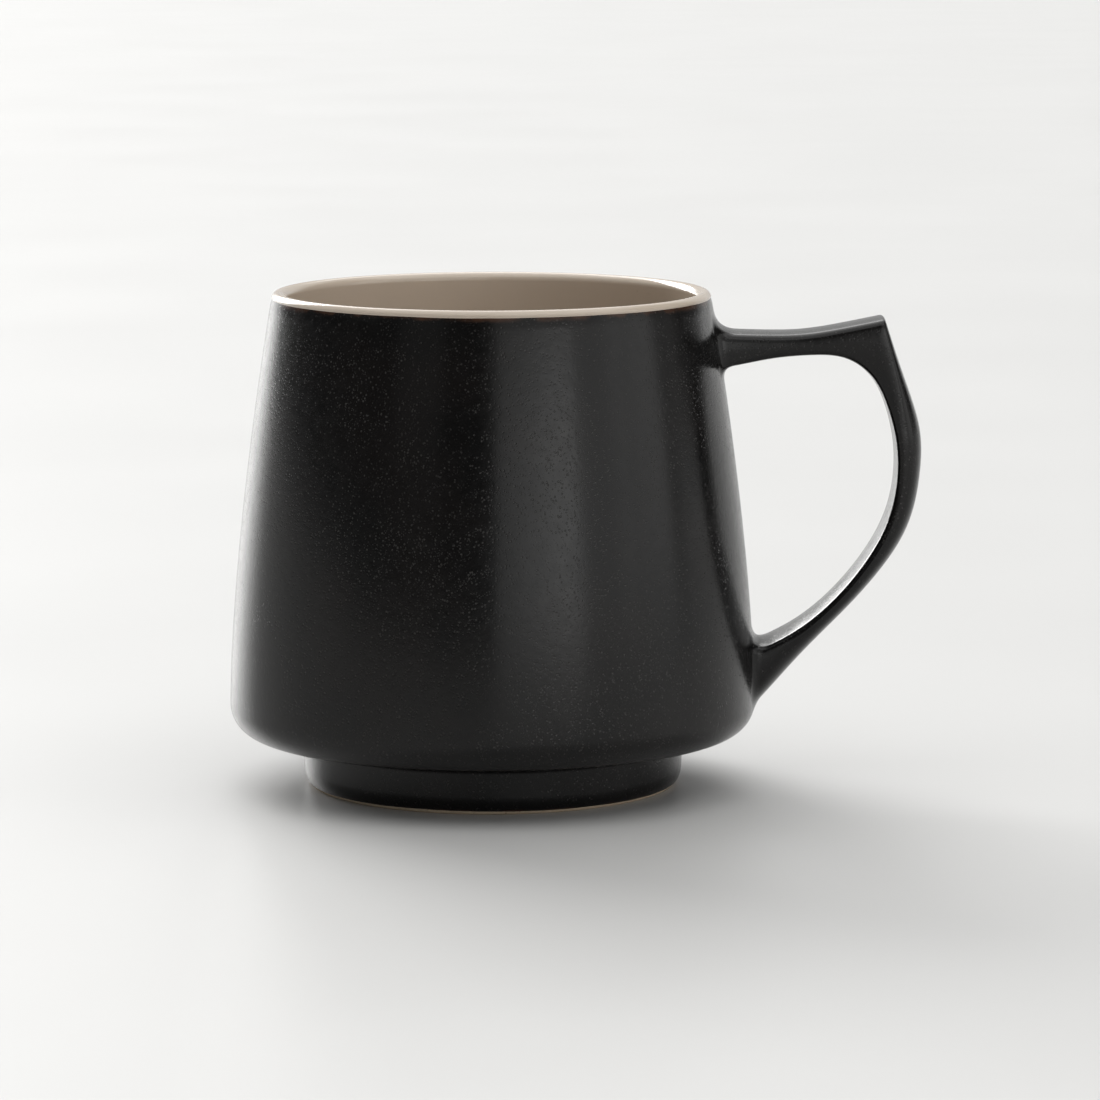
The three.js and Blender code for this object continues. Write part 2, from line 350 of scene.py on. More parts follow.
def body_skin_profile(angle):
    """The black glaze, whose upper and lower edges wander a little and end in a soft bead."""
    top = RIM_GLAZE_LINE + wave(angle, RIM_SEED, RIM_LINE_WAVE)
    bottom = FOOT_GLAZE_LINE + wave(angle, FOOT_SEED, FOOT_LINE_WAVE)
    face = outside(bottom, top)
    back = offset(face, GLAZE)[::-1]
    for line, side in ((top, 1), (bottom, -1)):
        share = np.clip(1 - side * (line - face[:, 1]) / EDGE_BEAD, 0, 1)
        face[:, 0] -= EDGE_STEP * (1 - np.sqrt(1 - share**2))
    return np.vstack([face, back])


def liner_skin_profile(_angle):
    """The pale glaze, from under the edge of the black, over the lip and down to the floor."""
    low = RIM_GLAZE_LINE - LINER_BELOW_LINE
    heights = np.linspace(low, RIM_GLAZE_LINE + LINER_ABOVE_LINE, SMALL_ARC_STEPS)
    rise = np.clip((heights - RIM_GLAZE_LINE) / LINER_BELOW_LINE, 0, 1)
    recess = EDGE_STEP * (1 - rise)
    band = np.column_stack([wall_radius(heights) - recess, heights])
    face = np.vstack([band, lip(), inside()])
    back = offset(face, GLAZE)[::-1]
    return np.vstack([back, face])


def recess_skin_profile(angle):
    """The black glaze inside the foot ring: across the ceiling and down the ring's inner side."""
    bottom = FOOT_GLAZE_LINE + RECESS_LINE_RISE + wave(angle, RECESS_SEED, FOOT_LINE_WAVE)
    centre = (FOOT_INNER_RADIUS - RECESS_FILLET, RECESS_CEILING - RECESS_FILLET)
    fillet = arc(centre, (RECESS_FILLET, RECESS_FILLET), math.pi / 2, 0, FILLET_ARC_STEPS)
    across = np.linspace(0, centre[0], CEILING_STEPS + 1)[:-1]
    ceiling = np.column_stack([across, np.full(CEILING_STEPS, RECESS_CEILING)])
    side = [(FOOT_INNER_RADIUS, bottom + EDGE_BEAD), (FOOT_INNER_RADIUS + EDGE_STEP, bottom)]
    face = np.vstack([ceiling, fillet, side])
    back = offset(face, GLAZE)[::-1]
    return np.vstack([face, back])


def cup_clay_profile(_angle):
    """The clay of the cup, just under its glazes, from the axis below to the floor above."""
    depth = GLAZE + HIDDEN_GAP
    full = outside(FOOT_GLAZE_LINE, LIP_BASE)
    shell = offset(full[full[:, 1] > underside(FOOT_TOP_RADIUS + 1)], depth)
    ceiling = [(0, RECESS_CEILING + depth), (FOOT_INNER_RADIUS, RECESS_CEILING + depth)]
    within = offset(np.vstack([lip(), inside()]), depth)
    return np.vstack([ceiling, shell, within])


def foot_clay_profile(_angle):
    """The clay foot ring, bare on its resting face and glazed on its sides."""
    depth = EDGE_STEP + HIDDEN_GAP
    top = RECESS_CEILING - HIDDEN_GAP
    contact = -math.pi / 2
    bare_top = FOOT_GLAZE_LINE + BARE_ABOVE_LINE
    bare = foot_arc(contact, foot_angle(bare_top), FILLET_ARC_STEPS)
    under_glaze = foot_arc(foot_angle(FOOT_GLAZE_LINE + CLAY_UNDER_GLAZE), 0, FILLET_ARC_STEPS)
    under_glaze -= [GLAZE + HIDDEN_GAP, 0]
    bare[:, 0] -= depth * (bare[:, 1] / bare_top)
    inner_round = arc(
        (FOOT_INNER_RADIUS + FOOT_INNER_ROUND, FOOT_INNER_ROUND),
        (FOOT_INNER_ROUND - depth, FOOT_INNER_ROUND),
        math.pi,
        math.pi * 1.5,
        SMALL_ARC_STEPS,
    )
    hidden = [
        (FOOT_SIDE_RADIUS - GLAZE - HIDDEN_GAP, top),
        (FOOT_INNER_RADIUS + GLAZE + HIDDEN_GAP, top),
        (FOOT_INNER_RADIUS + GLAZE + HIDDEN_GAP, FOOT_INNER_ROUND + 1),
    ]
    return np.vstack([inner_round, bare, under_glaze, hidden])


def thin_at_lines(vertices):
    """The body's glaze runs thin at its two edges, at the rim and at the foot."""
    height = np.asarray(vertices)[:, 2]
    rim = np.exp(-np.clip(RIM_GLAZE_LINE - height, 0, None) / RIM_THIN_REACH)
    foot = np.exp(-np.clip(height - FOOT_GLAZE_LINE, 0, None) / FOOT_THIN_REACH)
    return np.maximum(rim, foot)


def make_cup(black, pale, clay):
    vertices, faces = lathe(body_skin_profile, True)
    skin = new_piece("body_skin", vertices, faces, black, ["body_glaze"])
    mark_edges(skin, thin_at_lines(vertices))
    keep_creases(skin)

    vertices, faces = lathe(liner_skin_profile, False)
    liner = new_piece("liner_skin", vertices, faces, pale, ["liner_glaze"])
    keep_creases(liner)

    vertices, faces = lathe(recess_skin_profile, False)
    recess = new_piece("recess_skin", vertices, faces, black, ["recess_glaze"])
    mark_edges(recess, thin_at_lines(vertices))
    keep_creases(recess)

    vertices, faces = lathe(cup_clay_profile, False)
    keep_creases(new_piece("cup_clay", vertices, faces, clay, ["cup_body"]))

    vertices, faces = lathe(foot_clay_profile, True)
    keep_creases(new_piece("foot_clay", vertices, faces, clay, ["foot_ring"]))


# ---------------------------------------------------------------- the handle


def natural_spline(knots, values):
    """A smooth curve through values at knots, as a function of the distance along it."""
    knots = np.asarray(knots, float)
    values = np.asarray(values, float)
    gaps = np.diff(knots)
    count = len(knots)
    matrix = np.eye(count)
    right = np.zeros_like(values)
    for i in range(1, count - 1):
        matrix[i, i - 1 : i + 2] = gaps[i - 1], 2 * (gaps[i - 1] + gaps[i]), gaps[i]
        slopes = (values[i + 1] - values[i]) / gaps[i] - (values[i] - values[i - 1]) / gaps[i - 1]
        right[i] = 6 * slopes
    bend = np.linalg.solve(matrix, right)

    def at(place):
        place = np.asarray(place, float)
        i = np.clip(np.searchsorted(knots, place) - 1, 0, count - 2)
        gap = gaps[i][..., None]
        a = (knots[i + 1] - place)[..., None] / gap
        b = 1 - a
        bent = (a**3 - a) * bend[i] + (b**3 - b) * bend[i + 1]
        return a * values[i] + b * values[i + 1] + bent * gap**2 / 6

    return at


OUTER = np.array([station[0] for station in STATIONS])
INNER = np.array([station[1] for station in STATIONS])
HALF = np.array([[station[2]] for station in STATIONS])
LENGTHS = np.concatenate([[0], np.cumsum(np.linalg.norm(np.diff(INNER, axis=0), axis=1))])
THORN = LENGTHS[THORN_STATION]

outer_before_thorn = natural_spline(LENGTHS[: THORN_STATION + 1], OUTER[: THORN_STATION + 1])
outer_after_thorn = natural_spline(LENGTHS[THORN_STATION:], OUTER[THORN_STATION:])
inner_edge = natural_spline(LENGTHS, INNER)
half_width = natural_spline(LENGTHS, HALF)


def outer_edge(place):
    """The strap's outer edge, with the thorn's tip rounded off a little."""
    place = np.asarray(place, float)
    before = outer_before_thorn(np.minimum(place, THORN))
    after = outer_after_thorn(np.maximum(place, THORN))
    edge = np.where((place < THORN)[..., None], before, after)
    start = THORN - THORN_ROUND_BEFORE
    end = THORN + THORN_ROUND_AFTER
    share = np.clip((place - start) / (end - start), 0, 1)[..., None]
    tip = OUTER[THORN_STATION]
    from_start = outer_before_thorn(np.array(start))
    to_end = outer_after_thorn(np.array(end))
    rounded = (1 - share) ** 2 * from_start + 2 * share * (1 - share) * tip + share**2 * to_end
    near = ((place > start) & (place < end))[..., None]
    return np.where(near, rounded, edge)


def section_shape():
    """The strap's section as shares: its place across, its place through, and its normal."""
    across = []
    through = []
    normal = []
    sides = [(1, 1), (-1, 1), (-1, -1), (1, -1)]
    for quarter, (side_y, side_v) in enumerate(sides):
        next_y, next_v = sides[(quarter + 1) % 4]
        corner = np.linspace(0, math.pi / 2, CORNER_STEPS + 1) + quarter * math.pi / 2
        across.extend([side_y] * len(corner))
        through.extend([side_v] * len(corner))
        normal.extend(corner)
        steps = FACE_STEPS if quarter % 2 == 0 else SIDE_STEPS
        for share in np.arange(1, steps) / steps:
            across.append(side_y + (next_y - side_y) * share)
            through.append(side_v + (next_v - side_v) * share)
            normal.append(corner[-1])
    return np.array(across), np.array(through), np.array(normal)


ACROSS, THROUGH, NORMAL = section_shape()
AROUND_SECTION = len(NORMAL)


def outer_round(place, way, room):
    """The round on the strap's outer corners: small along the arm, and fuller past the thorn."""
    share = np.clip((place - THORN - ROUND_CHANGE[0]) / (ROUND_CHANGE[1] - ROUND_CHANGE[0]), 0, 1)
    share = share**2 * (3 - 2 * share)
    size = ARM_ROUND[way] + (GRIP_ROUND[way] - ARM_ROUND[way]) * share
    return np.minimum(size, ROUND_SHARE[way] * room)


def strap_points(place, inset=0.0):
    """The strap's surface at every point of its section, each at its own place along it."""
    place = np.broadcast_to(np.asarray(place, float), (AROUND_SECTION,))
    outer = outer_edge(place)
    inner = inner_edge(place)
    through = outer - inner
    thickness = np.linalg.norm(through, axis=1)
    through /= thickness[:, None]
    share = (THROUGH + 1) / 2
    outer_through = outer_round(place, "through", thickness)
    half = half_width(place)[:, 0]
    outer_across = outer_round(place, "across", half)
    inner_round = np.minimum(INNER_ROUND["through"], INNER_ROUND["share"] * thickness)
    round_v = share * outer_through + (1 - share) * inner_round
    round_y = share * outer_across + (1 - share) * INNER_ROUND["across"]
    outer_crown = FACE_CROWN * (1 - outer_across / half) * ACROSS**2
    inner_crown = FACE_CROWN * (1 - INNER_ROUND["across"] / half) * ACROSS**2
    top = thickness / 2 - outer_through - outer_crown
    bottom = inner_round - thickness / 2 + inner_crown
    v = share * top + (1 - share) * bottom + (round_v - inset) * np.sin(NORMAL)
    y = ACROSS * (half - round_y) + (round_y - inset) * np.cos(NORMAL)
    flat_side = np.clip(1 - (outer_through + inner_round) / thickness, 0, 1)
    y -= SIDE_CROWN * flat_side * ACROSS * THROUGH**2
    spot = (outer + inner) / 2 + v[:, None] * through
    return np.column_stack([spot[:, 0], y, spot[:, 1]])


def body_radius(height):
    """The glazed outside's radius at a height on the wall or the shoulder."""
    drop = np.clip(BELLY_HEIGHT - np.asarray(height), 0, SHOULDER_RADIUS)
    shoulder = SHOULDER_RADIUS - np.sqrt(SHOULDER_RADIUS**2 - drop**2)
    return wall_radius(height) - shoulder


def body_normals(points):
    """Which way the glazed outside faces at points on it."""
    height = points[:, 2]
    rise = body_radius(height + SLOPE_STEP) - body_radius(height - SLOPE_STEP)
    normals = np.column_stack([points[:, :2], np.zeros(len(points))])
    normals /= np.linalg.norm(normals, axis=1)[:, None]
    normals[:, 2] = -rise / (2 * SLOPE_STEP)
    return normals / np.linalg.norm(normals, axis=1)[:, None]


def onto_body(points):
    """Moves points straight in or out until they lie on the glazed outside."""
    radius = np.linalg.norm(points[:, :2], axis=1)
    share = body_radius(points[:, 2]) / radius
    return np.column_stack([points[:, :2] * share[:, None], points[:, 2]])


def bisect(low, high, is_high):
    """Finds, for every point of the section, where a test turns true between two places."""
    low = np.full(AROUND_SECTION, float(low)) if np.isscalar(low) else low.copy()
    high = np.full(AROUND_SECTION, float(high)) if np.isscalar(high) else high.copy()
    for _ in range(BISECTIONS):
        middle = (low + high) / 2
        past = is_high(middle)
        high = np.where(past, middle, high)
        low = np.where(past, low, middle)
    return (low + high) / 2


def outside_body(place):
    """Whether each point of the section is outside the wall at its place along the strap."""
    points = strap_points(place)
    return np.linalg.norm(points[:, :2], axis=1) > body_radius(points[:, 2])


def fillet_rows(buried, free, reach):
    """Where the strap ends for the fillet at one root, and the fillet's rows to the wall.

    buried is a place along the strap that is inside the wall, and free one that is outside it.
    """
    meets = bisect(buried, free, outside_body)
    at_wall = strap_points(meets)
    upright = np.sin(NORMAL)
    length = reach["side"] * (1 - upright**2)
    length += np.where(upright > 0, reach["outer"], reach["inner"]) * upright**2

    def far_enough(place):
        return np.linalg.norm(strap_points(place) - at_wall, axis=1) > length

    starts = bisect(meets, np.full(AROUND_SECTION, float(free)), far_enough)
    from_strap = strap_points(starts)

    wall_normal = body_normals(at_wall)
    outward = section_normals(meets)
    outward -= np.sum(outward * wall_normal, axis=1)[:, None] * wall_normal
    outward /= np.linalg.norm(outward, axis=1)[:, None]
    on_wall = onto_body(at_wall + length[:, None] * outward)
    end_normal = body_normals(on_wall)
    end_way = on_wall - at_wall
    end_way -= np.sum(end_way * end_normal, axis=1)[:, None] * end_normal
    end_way /= np.linalg.norm(end_way, axis=1)[:, None]

    first_handle = from_strap + 2 / 3 * (at_wall - from_strap)
    last_handle = on_wall - 2 / 3 * length[:, None] * end_way
    rows = []
    for share in np.linspace(0, 1, FILLET_ROWS + 1):
        rest = 1 - share
        rows.append(
            rest**3 * from_strap
            + 3 * rest**2 * share * first_handle
            + 3 * rest * share**2 * last_handle
            + share**3 * on_wall
        )
    return starts, np.array(rows)


def section_normals(place):
    """Which way the section's outline faces, in the section's own plane."""
    through = outer_edge(place) - inner_edge(place)
    through /= np.linalg.norm(through, axis=1)[:, None]
    up = np.sin(NORMAL)[:, None] * through
    return np.column_stack([up[:, 0], np.cos(NORMAL), up[:, 1]])


def free_places():
    """Places along the strap between its roots, closer together round the thorn."""
    start = LENGTHS[FIRST_FREE_STATION]
    end = LENGTHS[LAST_FREE_STATION]
    tip_start = THORN - 2 * THORN_ROUND_BEFORE
    tip_end = THORN + 2 * THORN_ROUND_AFTER
    places = []
    for low, high, step in (
        (start, tip_start, ROW_LENGTH),
        (tip_start, tip_end, THORN_ROW_LENGTH),
        (tip_end, end, ROW_LENGTH),
    ):
        count = max(1, round((high - low) / step))
        places.extend(np.linspace(low, high, count + 1)[:-1])
    return np.array([*places, end])


def rows_between(starts, place):
    """Rows of the strap from a fillet's own uneven start to a square section."""
    shares = np.arange(1, ROOT_ROWS + 1) / (ROOT_ROWS + 1)
    return [strap_points(starts + (place - starts) * share) for share in shares]


def handle_grid():
    """Every row of the handle's surface, from the wall at the top to the wall at the bottom."""
    free = free_places()
    upper_start, upper_fillet = fillet_rows(0.0, free[0], UPPER_REACH)
    lower_start, lower_fillet = fillet_rows(LENGTHS[-1], free[-1], LOWER_REACH)
    rows = list(upper_fillet[::-1])
    rows += rows_between(upper_start, free[0])
    rows += [strap_points(place) for place in free]
    rows += rows_between(lower_start, free[-1])[::-1]
    rows += list(lower_fillet)
    return np.array(rows)


def heading(before, after):
    """The way through a point, from the steps before and after it, however uneven they are."""
    ratio = np.linalg.norm(after, axis=-1) / np.linalg.norm(before, axis=-1)
    return before * ratio[..., None] + after / ratio[..., None]


def grid_normals(rows):
    """The normals of the whole handle at once, so that its pieces meet without a seam."""
    steps = np.diff(rows, axis=0)
    along = np.concatenate([steps[:1], heading(steps[:-1], steps[1:]), steps[-1:]])
    around = heading(rows - np.roll(rows, 1, axis=1), np.roll(rows, -1, axis=1) - rows)
    normals = np.cross(around, along)
    normals /= np.linalg.norm(normals, axis=2)[..., None]
    normals[0] = body_normals(rows[0])
    normals[-1] = body_normals(rows[-1])
    return normals


def capped(rows):
    """Faces over a grid of rows, closed by a fan at each end. The fans' middles come last."""
    count, around, _ = rows.shape
    faces = []
    for r in range(count - 1):
        for i in range(around):
            j = (i + 1) % around
            here = r * around
            there = here + around
            faces.append((here + i, here + j, there + j, there + i))
    first = count * around
    last_row = (count - 1) * around
    for i in range(around):
        j = (i + 1) % around
        faces.append((first, j, i))
        faces.append((first + 1, last_row + i, last_row + j))
    middles = [rows[0].mean(axis=0), rows[-1].mean(axis=0)]
    return np.vstack([rows.reshape(-1, 3), middles]), faces


def buried_row(row):
    """A row moved straight into the wall, so that a root is rooted and shows no open edge."""
    return row - ROOT_DEPTH * body_normals(row)


def thin_on_corners(rows):
    """The handle's glaze runs thin on the strap's outer side, at the thorn and just below it."""
    outer_side = np.clip(np.sin(NORMAL), 0, 1) ** 2
    away = np.linalg.norm(rows[:, :, [0, 2]] - THIN_PLACE, axis=2)
    return THIN_MOST * outer_side * np.exp(-((away / THIN_REACH) ** 2))


def handle_piece(name, rows, normals, finish, nodes):
    """One length of the handle's glaze, closed at both ends, with the whole handle's normals."""
    vertices, faces = capped(rows)
    piece = new_piece(name, vertices, faces, finish, nodes)
    shares = thin_on_corners(rows).reshape(-1)
    mark_edges(piece, np.concatenate([shares, [0, 0]]))
    ends = [normals[0].mean(axis=0), normals[-1].mean(axis=0)]
    whole = np.vstack([normals.reshape(-1, 3), ends])
    piece.data.normals_split_custom_set_from_vertices(whole.tolist())
    return piece


def make_handle(black, clay):
    rows = handle_grid()
    normals = grid_normals(rows)
    first = FILLET_ROWS
    last = len(rows) - 1 - FILLET_ROWS
    upper = np.concatenate([[buried_row(rows[0])], rows[: first + 1]])
    upper_normals = np.concatenate([normals[:1], normals[: first + 1]])
    lower = np.concatenate([rows[last:], [buried_row(rows[-1])]])
    lower_normals = np.concatenate([normals[last:], normals[-1:]])
    middle = rows[first : last + 1]
    handle_piece("handle_skin", middle, normals[first : last + 1], black, ["handle_glaze"])
    handle_piece("handle_root_upper", upper, upper_normals, black, ["handle_joint_upper"])
    handle_piece("handle_root_lower", lower, lower_normals, black, ["handle_joint_lower"])

    core = np.array([strap_points(place, GLAZE + HIDDEN_GAP) for place in free_places()])
    vertices, faces = capped(core)
    keep_creases(new_piece("handle_clay", vertices, faces, clay, ["handle"]))


# ---------------------------------------------------------------- materials


class Tree:
    """A small helper for writing a node tree in order."""

    def __init__(self, tree):
        self.tree = tree

    def add(self, kind, inputs=None, **settings):
        node = self.tree.nodes.new(kind)
        for name, value in settings.items():
            setattr(node, name, value)
        for name, value in (inputs or {}).items():
            self.feed(node.inputs[name], value)
        return node

    def feed(self, socket, value):
        if isinstance(value, bpy.types.NodeSocket):
            self.tree.links.new(value, socket)
        else:
            socket.default_value = value

    def math(self, operation, first, second=0.0):
        node = self.add("ShaderNodeMath", operation=operation)
        self.feed(node.inputs[0], first)
        self.feed(node.inputs[1], second)
        return node.outputs[0]

    def ramp(self, value, low, high, start=0.0, end=1.0):
        """A smooth step from start to end as the value goes from low to high."""
        node = self.add("ShaderNodeMapRange", interpolation_type="SMOOTHSTEP")
        for index, what in enumerate((value, low, high, start, end)):
            self.feed(node.inputs[index], what)
        return node.outputs["Result"]


class Finish(Tree):
    """A material's node tree, with its patterns measured in millimetres."""

    def __init__(self, name, ior=None):
        self.material = bpy.data.materials.new(name)
        self.material.use_nodes = True
        super().__init__(self.material.node_tree)
        self.shader = self.tree.nodes["Principled BSDF"]
        self.place = self.add("ShaderNodeTexCoord").outputs["Object"]
        if ior is not None:
            self.shader.inputs["IOR"].default_value = ior

    def noise(self, per_mm, detail=2.0):
        node = self.add("ShaderNodeTexNoise", {"Vector": self.place, "Scale": per_mm / MM})
        node.inputs["Detail"].default_value = detail
        node.inputs["Roughness"].default_value = 0.5
        return node.outputs["Fac"]

    def spots(self, per_mm, chosen, reach, middle=0.05):
        """Round spots in the cells of a pattern whose own number is past the chosen one."""
        cells = self.add("ShaderNodeTexVoronoi", {"Vector": self.place, "Scale": per_mm / MM})
        picked = self.ramp(cells.outputs["Color"], chosen, chosen + SPOT_FADE)
        spot = self.ramp(cells.outputs["Distance"], middle, reach, 1, 0)
        return self.math("MULTIPLY", spot, picked)

    def attribute(self, name):
        return self.add("ShaderNodeAttribute", attribute_name=name).outputs["Fac"]

    def mix(self, share, first, second):
        """A colour between two, each given as red, green and blue or as a socket."""
        node = self.add("ShaderNodeMix", data_type="RGBA")
        self.feed(node.inputs["Factor"], share)
        for index, colour in ((6, first), (7, second)):
            whole = colour if isinstance(colour, bpy.types.NodeSocket) else (*colour, 1)
            self.feed(node.inputs[index], whole)
        return node.outputs[2]

    def bump(self, height, distance, strength=1.0):
        node = self.add("ShaderNodeBump", {"Height": height})
        node.inputs["Distance"].default_value = distance * MM
        node.inputs["Strength"].default_value = strength
        self.feed(self.shader.inputs["Normal"], node.outputs["Normal"])

    def colour(self, value):
        self.feed(self.shader.inputs["Base Color"], value)

    def rough(self, value):
        self.feed(self.shader.inputs["Roughness"], value)


SPOT_FADE = 0.06
BLACK_TONES = ((0.003, 0.0029, 0.0029), (0.0054, 0.0046, 0.0044))
# The pits' lighter tone is a painted glint, standing in for the light that their sloping walls
# reflect.
BLACK_PIT_PAINTED_GLINT = (0.03, 0.0285, 0.027)
BLACK_THIN_TONE = (0.05, 0.024, 0.014)
BLACK_ROUGHNESS = (0.17, 0.22)
BLACK_IOR = 1.36
BLACK_RELIEF = 0.028
LINER_TONES = ((0.48, 0.405, 0.33), (0.53, 0.45, 0.37))
LINER_SPECK_TONE = (0.2, 0.15, 0.105)
LINER_ROUGHNESS = (0.1, 0.16)
LINER_IOR = 1.52
LINER_RELIEF = 0.02
CLAY_TONES = ((0.42, 0.33, 0.235), (0.56, 0.46, 0.34))
CLAY_SPECK_TONE = (0.16, 0.09, 0.05)
CLAY_ROUGHNESS = (0.78, 0.9)
CLAY_RELIEF = 0.05
FLOOR_TONE = (0.52, 0.518, 0.514)
FLOOR_ROUGHNESS = (0.42, 0.46)
FLOOR_IOR = 1.45
FLOOR_HAZE_PER_MM = 0.009


def black_glaze():
    """Satin black glaze: fine pits and orange peel, breaking rust brown where it runs thin; the
    pits also carry a painted glint.
    """
    n = Finish("black_glaze", BLACK_IOR)
    patches = n.ramp(n.noise(0.07, 3), 0.36, 0.6, 0.55, 1)
    fine = n.math("MULTIPLY", n.spots(2.6, 0.45, 0.42), patches)
    coarse = n.math("MULTIPLY", n.spots(1.5, 0.4, 0.34), patches)
    pitted = n.math("ADD", n.math("MULTIPLY", fine, 0.45), coarse)
    peel = n.noise(0.9)
    grain = n.noise(4.0)
    height = n.math("SUBTRACT", n.math("MULTIPLY", peel, 0.5), pitted)
    height = n.math("ADD", height, n.math("MULTIPLY", grain, 0.08))
    n.bump(height, BLACK_RELIEF)

    wander = n.ramp(n.noise(0.2, 4), 0.35, 0.65, 0.5, 1.1)
    thin = n.ramp(n.math("MULTIPLY", n.attribute("thin"), wander), 0.35, 1.0)
    cloud = n.ramp(n.noise(0.05, 3), 0.35, 0.65)
    tone = n.mix(cloud, *BLACK_TONES)
    # Painted glint: the pits are coloured lighter than the glaze, as if they catch the light.
    tone = n.mix(n.math("MINIMUM", pitted, 1.0), tone, BLACK_PIT_PAINTED_GLINT)
    n.colour(n.mix(thin, tone, BLACK_THIN_TONE))
    satin = n.ramp(n.noise(0.5, 3), 0.3, 0.7, *BLACK_ROUGHNESS)
    n.rough(n.math("ADD", satin, n.math("MULTIPLY", fine, 0.1)))
    return n.material


def liner_glaze():
    """Glossy greige glaze, a little uneven in tone, with a faint orange peel."""
    n = Finish("liner_glaze", LINER_IOR)
    cloud = n.noise(0.06, 4)
    tone = n.mix(cloud, *LINER_TONES)
    speck = n.math("MULTIPLY", n.spots(0.9, 0.84, 0.22), 0.35)
    n.colour(n.mix(speck, tone, LINER_SPECK_TONE))
    n.rough(n.ramp(cloud, 0.3, 0.7, *LINER_ROUGHNESS))
    n.bump(n.noise(0.35), LINER_RELIEF, 0.6)
    return n.material


def bare_clay():
    """Bare fired stoneware: matt buff clay with grog and iron specks."""
    n = Finish("bare_clay")
    grog = n.noise(2.5, 4)
    tone = n.mix(grog, *CLAY_TONES)
    n.colour(n.mix(n.spots(1.3, 0.8, 0.3, middle=0.1), tone, CLAY_SPECK_TONE))
    n.rough(n.ramp(grog, 0.3, 0.7, *CLAY_ROUGHNESS))
    n.bump(grog, CLAY_RELIEF)
    return n.material


def floor_finish():
    """A pale satin table top."""
    n = Finish("floor", FLOOR_IOR)
    haze = n.noise(FLOOR_HAZE_PER_MM, 3)
    n.colour(n.mix(n.math("MULTIPLY", haze, 0.03), FLOOR_TONE, (1, 1, 1)))
    n.rough(n.ramp(haze, 0.3, 0.7, *FLOOR_ROUGHNESS))
    return n.material


# ---------------------------------------------------------------- studio

FLOOR_SIZE = 12.0
LENS = 173.4
SENSOR = 36.0
CAMERA_PLACE = (10.21, -908.4, 168.6)
CAMERA_TILT = math.radians(90 - 8.02)
CAMERA_ROLL = math.radians(0.09)
CAMERA_REACH = 50

KEY_AZIMUTH = math.radians(-149)
KEY_ELEVATION = math.radians(22)
KEY_WIDTH = math.radians(33)
KEY_POWER = 2.6
KEY_COLOUR = (1.0, 0.995, 0.98)

# What the mug's glaze mirrors. Each panel of light spans azimuths, counted in degrees from the
# camera's side towards the right, and elevations. Its edges are soft over so many degrees on
# the left, on the right, and below and above, and it adds its own radiance.
PANELS = [
    {"azimuth": (2.5, 41.5), "elevation": (-30, 12.6), "soft": (3, 3, 2), "light": 0.65},
    {"azimuth": (22, 41.5), "elevation": (-30, 12.6), "soft": (34, 3, 2), "light": 1.55},
    {"azimuth": (2.5, 68), "elevation": (-30, 62), "soft": (3, 10, 8), "light": 0.7},
    {"azimuth": (41.5, 91), "elevation": (-30, 15), "soft": (3, 5, 4), "light": 0.46},
    {"azimuth": (66, 91), "elevation": (-30, 60), "soft": (20, 5, 6), "light": 0.9},
    {"azimuth": (91, 108), "elevation": (-30, 14), "soft": (5, 10, 4), "light": 0.34},
    {"azimuth": (-48, -24), "elevation": (8, 26), "soft": (8, 6, 6), "light": 0.22},
    {"azimuth": (-145, -62), "elevation": (-30, 1), "soft": (10, 50, 5), "light": 1.0},
    {"azimuth": (100, 145), "elevation": (-30, 1), "soft": (10, 10, 5), "light": 1.1},
    {"azimuth": (-168, -142), "elevation": (-30, 46), "soft": (8, 12, 10), "light": 1.3},
    {"azimuth": (138, 166), "elevation": (-30, 46), "soft": (12, 8, 10), "light": 0.2},
    {"azimuth": (-185, -150), "elevation": (24, 50), "soft": (4, 16, 10), "light": 2.4},
    {"azimuth": (168, 185), "elevation": (26, 50), "soft": (14, 4, 10), "light": 2.4},
    {"azimuth": (-128, -62), "elevation": (20, 48), "soft": (20, 20, 12), "light": 0.6},
    {"azimuth": (-90, 90), "elevation": (50, 95), "soft": (30, 30, 14), "light": 1.4},
    {"azimuth": (90, 185), "elevation": (50, 95), "soft": (30, 4, 14), "light": 1.6},
    {"azimuth": (-185, -90), "elevation": (50, 95), "soft": (4, 30, 14), "light": 1.6},
]
ROOM_LIGHT = 0.06
BACKDROP_LIGHT = 0.5
BACKDROP_EDGE = (132, 148)
SKY_COLOUR = (1.0, 1.0, 0.99, 1)


def make_floor():
    mesh = bpy.data.meshes.new("floor")
    half = FLOOR_SIZE / 2
    corners = [(-half, -half, 0), (half, -half, 0), (half, half, 0), (-half, half, 0)]
    mesh.from_pydata(corners, [], [(0, 1, 2, 3)])
    mesh.materials.append(floor_finish())
    floor = bpy.data.objects.new("floor", mesh)
    bpy.context.scene.collection.objects.link(floor)


def make_camera():
    data = bpy.data.cameras.new("camera")
    data.lens = LENS
    data.sensor_width = SENSOR
    data.clip_end = CAMERA_REACH
    camera = bpy.data.objects.new("camera", data)
    x, y, z = CAMERA_PLACE
    camera.location = Vector((AXIS_X + x, y, z)) * MM
    camera.rotation_euler = (CAMERA_TILT, CAMERA_ROLL, 0)
    bpy.context.scene.collection.objects.link(camera)
    bpy.context.scene.camera = camera


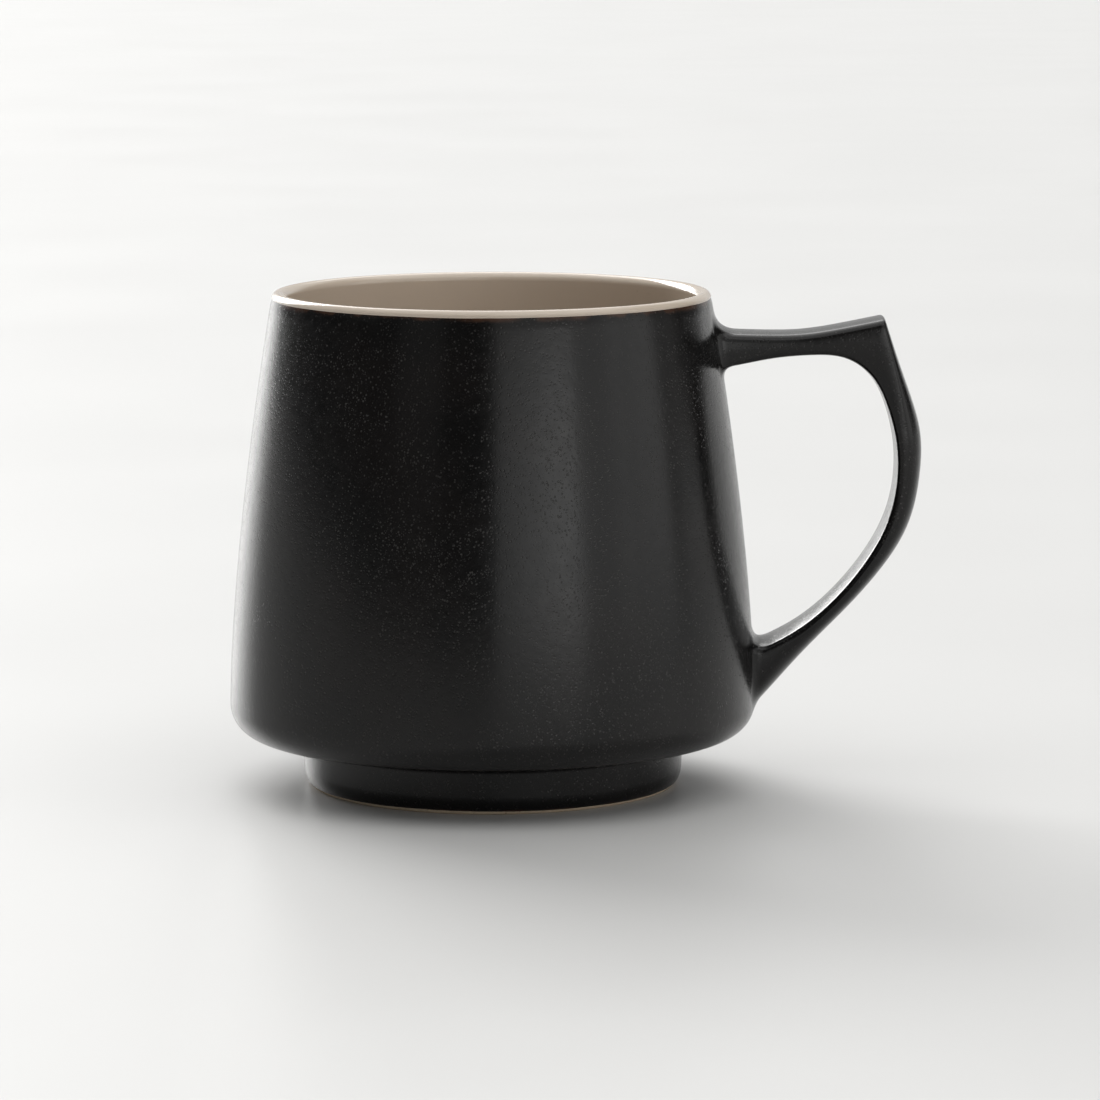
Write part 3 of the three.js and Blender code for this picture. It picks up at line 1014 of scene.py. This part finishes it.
def make_key():
    """A large, soft, far light behind the mug on the left."""
    data = bpy.data.lights.new("key", "SUN")
    data.angle = KEY_WIDTH
    data.energy = KEY_POWER
    data.color = KEY_COLOUR
    key = bpy.data.objects.new("key", data)
    side = math.cos(KEY_ELEVATION)
    x = side * math.sin(KEY_AZIMUTH)
    y = -side * math.cos(KEY_AZIMUTH)
    from_mug = Vector((x, y, math.sin(KEY_ELEVATION)))
    key.rotation_mode = "QUATERNION"
    key.rotation_quaternion = (-from_mug).to_track_quat("-Z", "Y")
    bpy.context.scene.collection.objects.link(key)


class Sky(Tree):
    """The world's node tree: light as a function of azimuth and elevation."""

    def __init__(self):
        world = bpy.data.worlds.new("studio")
        bpy.context.scene.world = world
        world.use_nodes = True
        super().__init__(world.node_tree)
        place = self.add("ShaderNodeTexCoord").outputs["Generated"]
        x, y, z = self.add("ShaderNodeSeparateXYZ", {"Vector": place}).outputs
        behind = self.math("MULTIPLY", y, -1)
        self.azimuth = self.math("DEGREES", self.math("ARCTAN2", x, behind))
        self.elevation = self.math("DEGREES", self.math("ARCSINE", z))

    def rise(self, value, edge, soft):
        return self.ramp(value, edge - soft / 2, edge + soft / 2)

    def fall(self, value, edge, soft):
        return self.ramp(value, edge - soft / 2, edge + soft / 2, 1, 0)

    def panel(self, azimuth, elevation, soft, light):
        """One soft-edged panel's light, as PANELS describes it."""
        left, right, rest = soft
        total = light
        for share in (
            self.rise(self.azimuth, azimuth[0], left),
            self.fall(self.azimuth, azimuth[1], right),
            self.rise(self.elevation, elevation[0], rest),
            self.fall(self.elevation, elevation[1], rest),
        ):
            total = self.math("MULTIPLY", total, share)
        return total

    def shine(self, strength):
        background = self.tree.nodes["Background"]
        self.feed(background.inputs["Strength"], strength)
        background.inputs["Color"].default_value = SKY_COLOUR


def make_world():
    """A dim room, a backdrop that fills in behind the mug, and the panels of light."""
    sky = Sky()
    away = sky.ramp(sky.math("ABSOLUTE", sky.azimuth), *BACKDROP_EDGE)
    total = sky.math("ADD", sky.math("MULTIPLY", away, BACKDROP_LIGHT), ROOM_LIGHT)
    for panel in PANELS:
        total = sky.math("ADD", total, sky.panel(**panel))
    sky.shine(total)


def set_colours():
    scene = bpy.context.scene
    scene.view_settings.view_transform = "Standard"
    scene.view_settings.look = "None"


def main():
    make_camera()
    black = black_glaze()
    pale = liner_glaze()
    clay = bare_clay()
    make_cup(black, pale, clay)
    make_handle(black, clay)
    make_floor()
    make_key()
    make_world()
    set_colours()


main()
